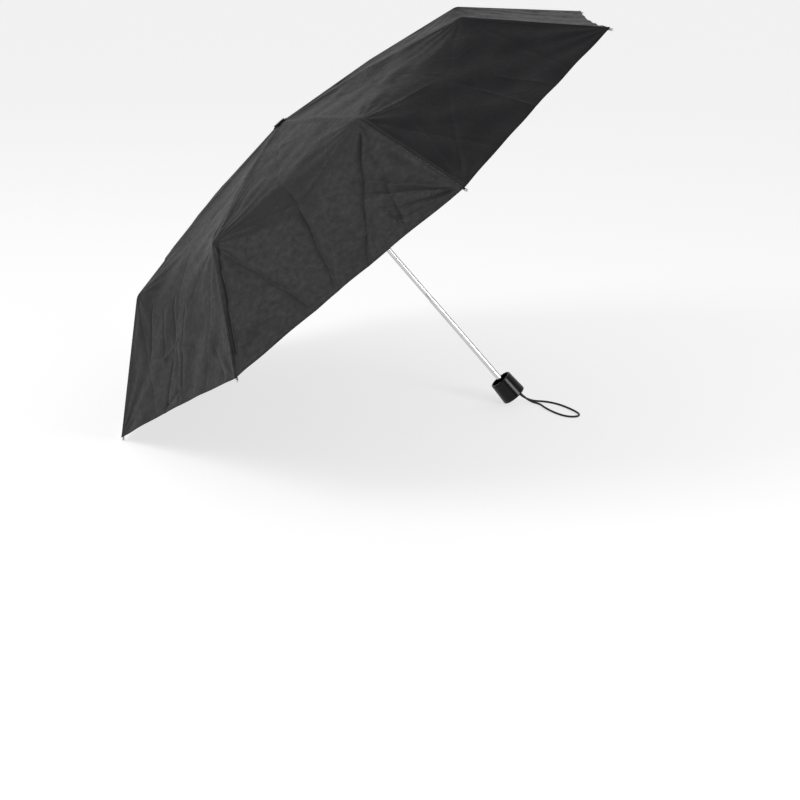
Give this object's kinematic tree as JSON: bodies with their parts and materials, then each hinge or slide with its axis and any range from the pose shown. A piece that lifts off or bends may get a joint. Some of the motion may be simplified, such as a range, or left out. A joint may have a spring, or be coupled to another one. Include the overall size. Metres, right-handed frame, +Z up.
{
  "type": "folding umbrella",
  "caption": "Open pocket umbrella with a telescopic shaft, three-fold ribs, a cloth canopy, a cup handle and a wrist cord.",
  "frame": {"origin": "on the floor, under the middle of the open umbrella's box, without its wrist cord", "axes": "+Z up from the floor; +X along the floor towards the handle; +Y across, along the canopy's widest line"},
  "size_m": [0.6826, 0.893, 0.5891],
  "materials": {
    "shaft_steel": "bright drawn tube",
    "rib_steel": "black coated channel",
    "wire_steel": "dark coated wire with a bright tip",
    "catch_steel": "spring steel",
    "frame_plastic": "moulded nylon",
    "handle_plastic": "glossy black moulding",
    "strap_cord": "black braided cord",
    "canopy_cloth": "thin black satin polyester"
  },
  "bodies": {
    "handle": {"lower_tube": "shaft_steel", "handle_cup": "handle_plastic", "handle_core": "frame_plastic", "strap_knot": "strap_cord", "strap_cord": "strap_cord"},
    "middle_shaft": {"middle_tube": "shaft_steel"},
    "crown": {"upper_tube": "shaft_steel", "crown_hub": "frame_plastic", "crown_ring_wire": "wire_steel", "canopy_washer": "frame_plastic", "top_cap": "handle_plastic", "canopy": "canopy_cloth"},
    "runner": {"runner": "frame_plastic", "runner_ring_wire": "wire_steel"},
    "runner_catch": {"runner_catch": "catch_steel"},
    "upper_tube_catch": {"upper_tube_catch": "catch_steel"},
    "middle_tube_catch": {"middle_tube_catch": "catch_steel"},
    "inner_rib_1": {"inner_rib_1": "rib_steel"},
    "middle_rib_1": {"middle_rib_1": "rib_steel"},
    "outer_rib_1": {"outer_rib_1": "wire_steel"},
    "link_wire_1": {"link_wire_1": "wire_steel"},
    "stretcher_1": {"stretcher_1": "rib_steel"},
    "inner_rib_2": {"inner_rib_2": "rib_steel"},
    "middle_rib_2": {"middle_rib_2": "rib_steel"},
    "outer_rib_2": {"outer_rib_2": "wire_steel"},
    "link_wire_2": {"link_wire_2": "wire_steel"},
    "stretcher_2": {"stretcher_2": "rib_steel"},
    "inner_rib_3": {"inner_rib_3": "rib_steel"},
    "middle_rib_3": {"middle_rib_3": "rib_steel"},
    "outer_rib_3": {"outer_rib_3": "wire_steel"},
    "link_wire_3": {"link_wire_3": "wire_steel"},
    "stretcher_3": {"stretcher_3": "rib_steel"},
    "inner_rib_4": {"inner_rib_4": "rib_steel"},
    "middle_rib_4": {"middle_rib_4": "rib_steel"},
    "outer_rib_4": {"outer_rib_4": "wire_steel"},
    "link_wire_4": {"link_wire_4": "wire_steel"},
    "stretcher_4": {"stretcher_4": "rib_steel"},
    "inner_rib_5": {"inner_rib_5": "rib_steel"},
    "middle_rib_5": {"middle_rib_5": "rib_steel"},
    "outer_rib_5": {"outer_rib_5": "wire_steel"},
    "link_wire_5": {"link_wire_5": "wire_steel"},
    "stretcher_5": {"stretcher_5": "rib_steel"},
    "inner_rib_6": {"inner_rib_6": "rib_steel"},
    "middle_rib_6": {"middle_rib_6": "rib_steel"},
    "outer_rib_6": {"outer_rib_6": "wire_steel"},
    "link_wire_6": {"link_wire_6": "wire_steel"},
    "stretcher_6": {"stretcher_6": "rib_steel"},
    "inner_rib_7": {"inner_rib_7": "rib_steel"},
    "middle_rib_7": {"middle_rib_7": "rib_steel"},
    "outer_rib_7": {"outer_rib_7": "wire_steel"},
    "link_wire_7": {"link_wire_7": "wire_steel"},
    "stretcher_7": {"stretcher_7": "rib_steel"},
    "inner_rib_8": {"inner_rib_8": "rib_steel"},
    "middle_rib_8": {"middle_rib_8": "rib_steel"},
    "outer_rib_8": {"outer_rib_8": "wire_steel"},
    "link_wire_8": {"link_wire_8": "wire_steel"},
    "stretcher_8": {"stretcher_8": "rib_steel"}
  },
  "joints": [
    {"name": "middle_tube_slide", "type": "slide", "parent": "handle", "child": "middle_shaft", "axis": [0.6467, 0, -0.7627], "range_m": [0, 0.156]},
    {"name": "upper_tube_slide", "type": "slide", "parent": "middle_shaft", "child": "crown", "axis": [0.6467, 0, -0.7627], "range_m": [0, 0.156], "deforming": ["runner_catch", "upper_tube_catch", "middle_tube_catch"]},
    {"name": "runner_slide", "type": "slide", "parent": "crown", "child": "runner", "axis": [0.6467, 0, -0.7627], "range_m": [0, 0.09119], "deforming": ["canopy"]},
    {"name": "runner_catch_press", "type": "slide", "parent": "crown", "child": "runner_catch", "axis": [0, 1, 0], "range_m": [0, 0.0016], "stiffness_N_per_m": 400},
    {"name": "upper_tube_catch_press", "type": "slide", "parent": "crown", "child": "upper_tube_catch", "axis": [0, 1, 0], "range_m": [0, 0.0013], "stiffness_N_per_m": 400},
    {"name": "middle_tube_catch_press", "type": "slide", "parent": "middle_shaft", "child": "middle_tube_catch", "axis": [0, 1, 0], "range_m": [0, 0.0013], "stiffness_N_per_m": 400},
    {"name": "inner_rib_1_hinge", "type": "hinge", "parent": "crown", "child": "inner_rib_1", "pos_m": [-0.12208, -0.00344, 0.42057], "axis": [0.2919, -0.9239, 0.2475], "range_deg": [0, 79.1]},
    {"name": "middle_rib_1_hinge", "type": "hinge", "parent": "inner_rib_1", "child": "middle_rib_1", "pos_m": [-0.22368, -0.06436, 0.31298], "axis": [0.2919, -0.9239, 0.2475], "range_deg": [-182.9, 0]},
    {"name": "outer_rib_1_hinge", "type": "hinge", "parent": "middle_rib_1", "child": "outer_rib_1", "pos_m": [-0.31278, -0.12432, 0.19424], "axis": [0.2919, -0.9239, 0.2475], "range_deg": [0, 149.9]},
    {"name": "link_wire_1_hinge", "type": "hinge", "parent": "inner_rib_1", "child": "link_wire_1", "pos_m": [-0.22158, -0.06423, 0.311], "axis": [0.2919, -0.9239, 0.2475], "range_deg": [-182.9, 0]},
    {"name": "stretcher_1_hinge", "type": "hinge", "parent": "runner", "child": "stretcher_1", "pos_m": [-0.06926, -0.00344, 0.35827], "axis": [0.2919, -0.9239, 0.2475], "range_deg": [-42.91, 0]},
    {"name": "inner_rib_2_hinge", "type": "hinge", "parent": "crown", "child": "inner_rib_2", "pos_m": [-0.11837, -0.00831, 0.42372], "axis": [0.7047, -0.3827, 0.5975], "range_deg": [0, 79.1]},
    {"name": "middle_rib_2_hinge", "type": "hinge", "parent": "inner_rib_2", "child": "middle_rib_2", "pos_m": [-0.15426, -0.15539, 0.37185], "axis": [0.7047, -0.3827, 0.5975], "range_deg": [-182.9, 0]},
    {"name": "outer_rib_2_hinge", "type": "hinge", "parent": "middle_rib_2", "child": "outer_rib_2", "pos_m": [-0.17868, -0.30014, 0.30794], "axis": [0.7047, -0.3827, 0.5975], "range_deg": [0, 149.9]},
    {"name": "link_wire_2_hinge", "type": "hinge", "parent": "inner_rib_2", "child": "link_wire_2", "pos_m": [-0.1523, -0.15507, 0.36974], "axis": [0.7047, -0.3827, 0.5975], "range_deg": [-182.9, 0]},
    {"name": "stretcher_2_hinge", "type": "hinge", "parent": "runner", "child": "stretcher_2", "pos_m": [-0.06554, -0.00831, 0.36142], "axis": [0.7047, -0.3827, 0.5975], "range_deg": [-42.91, 0]},
    {"name": "inner_rib_3_hinge", "type": "hinge", "parent": "crown", "child": "inner_rib_3", "pos_m": [-0.11311, -0.00831, 0.42817], "axis": [0.7047, 0.3827, 0.5975], "range_deg": [0, 79.1]},
    {"name": "middle_rib_3_hinge", "type": "hinge", "parent": "inner_rib_3", "child": "middle_rib_3", "pos_m": [-0.05608, -0.15539, 0.4551], "axis": [0.7047, 0.3827, 0.5975], "range_deg": [-182.9, 0]},
    {"name": "outer_rib_3_hinge", "type": "hinge", "parent": "middle_rib_3", "child": "outer_rib_3", "pos_m": [0.01096, -0.30014, 0.46875], "axis": [0.7047, 0.3827, 0.5975], "range_deg": [0, 149.9]},
    {"name": "link_wire_3_hinge", "type": "hinge", "parent": "inner_rib_3", "child": "link_wire_3", "pos_m": [-0.05432, -0.15507, 0.45282], "axis": [0.7047, 0.3827, 0.5975], "range_deg": [-182.9, 0]},
    {"name": "stretcher_3_hinge", "type": "hinge", "parent": "runner", "child": "stretcher_3", "pos_m": [-0.06029, -0.00831, 0.36588], "axis": [0.7047, 0.3827, 0.5975], "range_deg": [-42.91, 0]},
    {"name": "inner_rib_4_hinge", "type": "hinge", "parent": "crown", "child": "inner_rib_4", "pos_m": [-0.1094, -0.00344, 0.43132], "axis": [0.2919, 0.9239, 0.2475], "range_deg": [0, 79.1]},
    {"name": "middle_rib_4_hinge", "type": "hinge", "parent": "inner_rib_4", "child": "middle_rib_4", "pos_m": [0.01335, -0.06436, 0.51397], "axis": [0.2919, 0.9239, 0.2475], "range_deg": [-182.9, 0]},
    {"name": "outer_rib_4_hinge", "type": "hinge", "parent": "middle_rib_4", "child": "outer_rib_4", "pos_m": [0.14506, -0.12432, 0.58246], "axis": [0.2919, 0.9239, 0.2475], "range_deg": [0, 149.9]},
    {"name": "link_wire_4_hinge", "type": "hinge", "parent": "inner_rib_4", "child": "link_wire_4", "pos_m": [0.01496, -0.06423, 0.51157], "axis": [0.2919, 0.9239, 0.2475], "range_deg": [-182.9, 0]},
    {"name": "stretcher_4_hinge", "type": "hinge", "parent": "runner", "child": "stretcher_4", "pos_m": [-0.05657, -0.00344, 0.36903], "axis": [0.2919, 0.9239, 0.2475], "range_deg": [-42.91, 0]},
    {"name": "inner_rib_5_hinge", "type": "hinge", "parent": "crown", "child": "inner_rib_5", "pos_m": [-0.1094, 0.00344, 0.43132], "axis": [-0.2919, 0.9239, -0.2475], "range_deg": [0, 79.1]},
    {"name": "middle_rib_5_hinge", "type": "hinge", "parent": "inner_rib_5", "child": "middle_rib_5", "pos_m": [0.01335, 0.06436, 0.51397], "axis": [-0.2919, 0.9239, -0.2475], "range_deg": [-182.9, 0]},
    {"name": "outer_rib_5_hinge", "type": "hinge", "parent": "middle_rib_5", "child": "outer_rib_5", "pos_m": [0.14506, 0.12432, 0.58246], "axis": [-0.2919, 0.9239, -0.2475], "range_deg": [0, 149.9]},
    {"name": "link_wire_5_hinge", "type": "hinge", "parent": "inner_rib_5", "child": "link_wire_5", "pos_m": [0.01496, 0.06423, 0.51157], "axis": [-0.2919, 0.9239, -0.2475], "range_deg": [-182.9, 0]},
    {"name": "stretcher_5_hinge", "type": "hinge", "parent": "runner", "child": "stretcher_5", "pos_m": [-0.05657, 0.00344, 0.36903], "axis": [-0.2919, 0.9239, -0.2475], "range_deg": [-42.91, 0]},
    {"name": "inner_rib_6_hinge", "type": "hinge", "parent": "crown", "child": "inner_rib_6", "pos_m": [-0.11311, 0.00831, 0.42817], "axis": [-0.7047, 0.3827, -0.5975], "range_deg": [0, 79.1]},
    {"name": "middle_rib_6_hinge", "type": "hinge", "parent": "inner_rib_6", "child": "middle_rib_6", "pos_m": [-0.05608, 0.15539, 0.4551], "axis": [-0.7047, 0.3827, -0.5975], "range_deg": [-182.9, 0]},
    {"name": "outer_rib_6_hinge", "type": "hinge", "parent": "middle_rib_6", "child": "outer_rib_6", "pos_m": [0.01096, 0.30014, 0.46875], "axis": [-0.7047, 0.3827, -0.5975], "range_deg": [0, 149.9]},
    {"name": "link_wire_6_hinge", "type": "hinge", "parent": "inner_rib_6", "child": "link_wire_6", "pos_m": [-0.05432, 0.15507, 0.45282], "axis": [-0.7047, 0.3827, -0.5975], "range_deg": [-182.9, 0]},
    {"name": "stretcher_6_hinge", "type": "hinge", "parent": "runner", "child": "stretcher_6", "pos_m": [-0.06029, 0.00831, 0.36588], "axis": [-0.7047, 0.3827, -0.5975], "range_deg": [-42.91, 0]},
    {"name": "inner_rib_7_hinge", "type": "hinge", "parent": "crown", "child": "inner_rib_7", "pos_m": [-0.11837, 0.00831, 0.42372], "axis": [-0.7047, -0.3827, -0.5975], "range_deg": [0, 79.1]},
    {"name": "middle_rib_7_hinge", "type": "hinge", "parent": "inner_rib_7", "child": "middle_rib_7", "pos_m": [-0.15426, 0.15539, 0.37185], "axis": [-0.7047, -0.3827, -0.5975], "range_deg": [-182.9, 0]},
    {"name": "outer_rib_7_hinge", "type": "hinge", "parent": "middle_rib_7", "child": "outer_rib_7", "pos_m": [-0.17868, 0.30014, 0.30794], "axis": [-0.7047, -0.3827, -0.5975], "range_deg": [0, 149.9]},
    {"name": "link_wire_7_hinge", "type": "hinge", "parent": "inner_rib_7", "child": "link_wire_7", "pos_m": [-0.1523, 0.15507, 0.36974], "axis": [-0.7047, -0.3827, -0.5975], "range_deg": [-182.9, 0]},
    {"name": "stretcher_7_hinge", "type": "hinge", "parent": "runner", "child": "stretcher_7", "pos_m": [-0.06554, 0.00831, 0.36142], "axis": [-0.7047, -0.3827, -0.5975], "range_deg": [-42.91, 0]},
    {"name": "inner_rib_8_hinge", "type": "hinge", "parent": "crown", "child": "inner_rib_8", "pos_m": [-0.12208, 0.00344, 0.42057], "axis": [-0.2919, -0.9239, -0.2475], "range_deg": [0, 79.1]},
    {"name": "middle_rib_8_hinge", "type": "hinge", "parent": "inner_rib_8", "child": "middle_rib_8", "pos_m": [-0.22368, 0.06436, 0.31298], "axis": [-0.2919, -0.9239, -0.2475], "range_deg": [-182.9, 0]},
    {"name": "outer_rib_8_hinge", "type": "hinge", "parent": "middle_rib_8", "child": "outer_rib_8", "pos_m": [-0.31278, 0.12432, 0.19424], "axis": [-0.2919, -0.9239, -0.2475], "range_deg": [0, 149.9]},
    {"name": "link_wire_8_hinge", "type": "hinge", "parent": "inner_rib_8", "child": "link_wire_8", "pos_m": [-0.22158, 0.06423, 0.311], "axis": [-0.2919, -0.9239, -0.2475], "range_deg": [-182.9, 0]},
    {"name": "stretcher_8_hinge", "type": "hinge", "parent": "runner", "child": "stretcher_8", "pos_m": [-0.06926, 0.00344, 0.35827], "axis": [-0.2919, -0.9239, -0.2475], "range_deg": [-42.91, 0]}
  ],
  "couplings": [
    {"joint": "inner_rib_1_hinge", "follows": "runner_slide", "rad_per_m": 15.139},
    {"joint": "middle_rib_1_hinge", "follows": "runner_slide", "rad_per_m": -35.005},
    {"joint": "outer_rib_1_hinge", "follows": "runner_slide", "rad_per_m": 28.689},
    {"joint": "link_wire_1_hinge", "follows": "runner_slide", "rad_per_m": -35.005},
    {"joint": "stretcher_1_hinge", "follows": "runner_slide", "rad_per_m": -8.2113},
    {"joint": "inner_rib_2_hinge", "follows": "runner_slide", "rad_per_m": 15.139},
    {"joint": "middle_rib_2_hinge", "follows": "runner_slide", "rad_per_m": -35.005},
    {"joint": "outer_rib_2_hinge", "follows": "runner_slide", "rad_per_m": 28.689},
    {"joint": "link_wire_2_hinge", "follows": "runner_slide", "rad_per_m": -35.005},
    {"joint": "stretcher_2_hinge", "follows": "runner_slide", "rad_per_m": -8.2113},
    {"joint": "inner_rib_3_hinge", "follows": "runner_slide", "rad_per_m": 15.139},
    {"joint": "middle_rib_3_hinge", "follows": "runner_slide", "rad_per_m": -35.005},
    {"joint": "outer_rib_3_hinge", "follows": "runner_slide", "rad_per_m": 28.689},
    {"joint": "link_wire_3_hinge", "follows": "runner_slide", "rad_per_m": -35.005},
    {"joint": "stretcher_3_hinge", "follows": "runner_slide", "rad_per_m": -8.2113},
    {"joint": "inner_rib_4_hinge", "follows": "runner_slide", "rad_per_m": 15.139},
    {"joint": "middle_rib_4_hinge", "follows": "runner_slide", "rad_per_m": -35.005},
    {"joint": "outer_rib_4_hinge", "follows": "runner_slide", "rad_per_m": 28.689},
    {"joint": "link_wire_4_hinge", "follows": "runner_slide", "rad_per_m": -35.005},
    {"joint": "stretcher_4_hinge", "follows": "runner_slide", "rad_per_m": -8.2113},
    {"joint": "inner_rib_5_hinge", "follows": "runner_slide", "rad_per_m": 15.139},
    {"joint": "middle_rib_5_hinge", "follows": "runner_slide", "rad_per_m": -35.005},
    {"joint": "outer_rib_5_hinge", "follows": "runner_slide", "rad_per_m": 28.689},
    {"joint": "link_wire_5_hinge", "follows": "runner_slide", "rad_per_m": -35.005},
    {"joint": "stretcher_5_hinge", "follows": "runner_slide", "rad_per_m": -8.2113},
    {"joint": "inner_rib_6_hinge", "follows": "runner_slide", "rad_per_m": 15.139},
    {"joint": "middle_rib_6_hinge", "follows": "runner_slide", "rad_per_m": -35.005},
    {"joint": "outer_rib_6_hinge", "follows": "runner_slide", "rad_per_m": 28.689},
    {"joint": "link_wire_6_hinge", "follows": "runner_slide", "rad_per_m": -35.005},
    {"joint": "stretcher_6_hinge", "follows": "runner_slide", "rad_per_m": -8.2113},
    {"joint": "inner_rib_7_hinge", "follows": "runner_slide", "rad_per_m": 15.139},
    {"joint": "middle_rib_7_hinge", "follows": "runner_slide", "rad_per_m": -35.005},
    {"joint": "outer_rib_7_hinge", "follows": "runner_slide", "rad_per_m": 28.689},
    {"joint": "link_wire_7_hinge", "follows": "runner_slide", "rad_per_m": -35.005},
    {"joint": "stretcher_7_hinge", "follows": "runner_slide", "rad_per_m": -8.2113},
    {"joint": "inner_rib_8_hinge", "follows": "runner_slide", "rad_per_m": 15.139},
    {"joint": "middle_rib_8_hinge", "follows": "runner_slide", "rad_per_m": -35.005},
    {"joint": "outer_rib_8_hinge", "follows": "runner_slide", "rad_per_m": 28.689},
    {"joint": "link_wire_8_hinge", "follows": "runner_slide", "rad_per_m": -35.005},
    {"joint": "stretcher_8_hinge", "follows": "runner_slide", "rad_per_m": -8.2113}
  ]
}
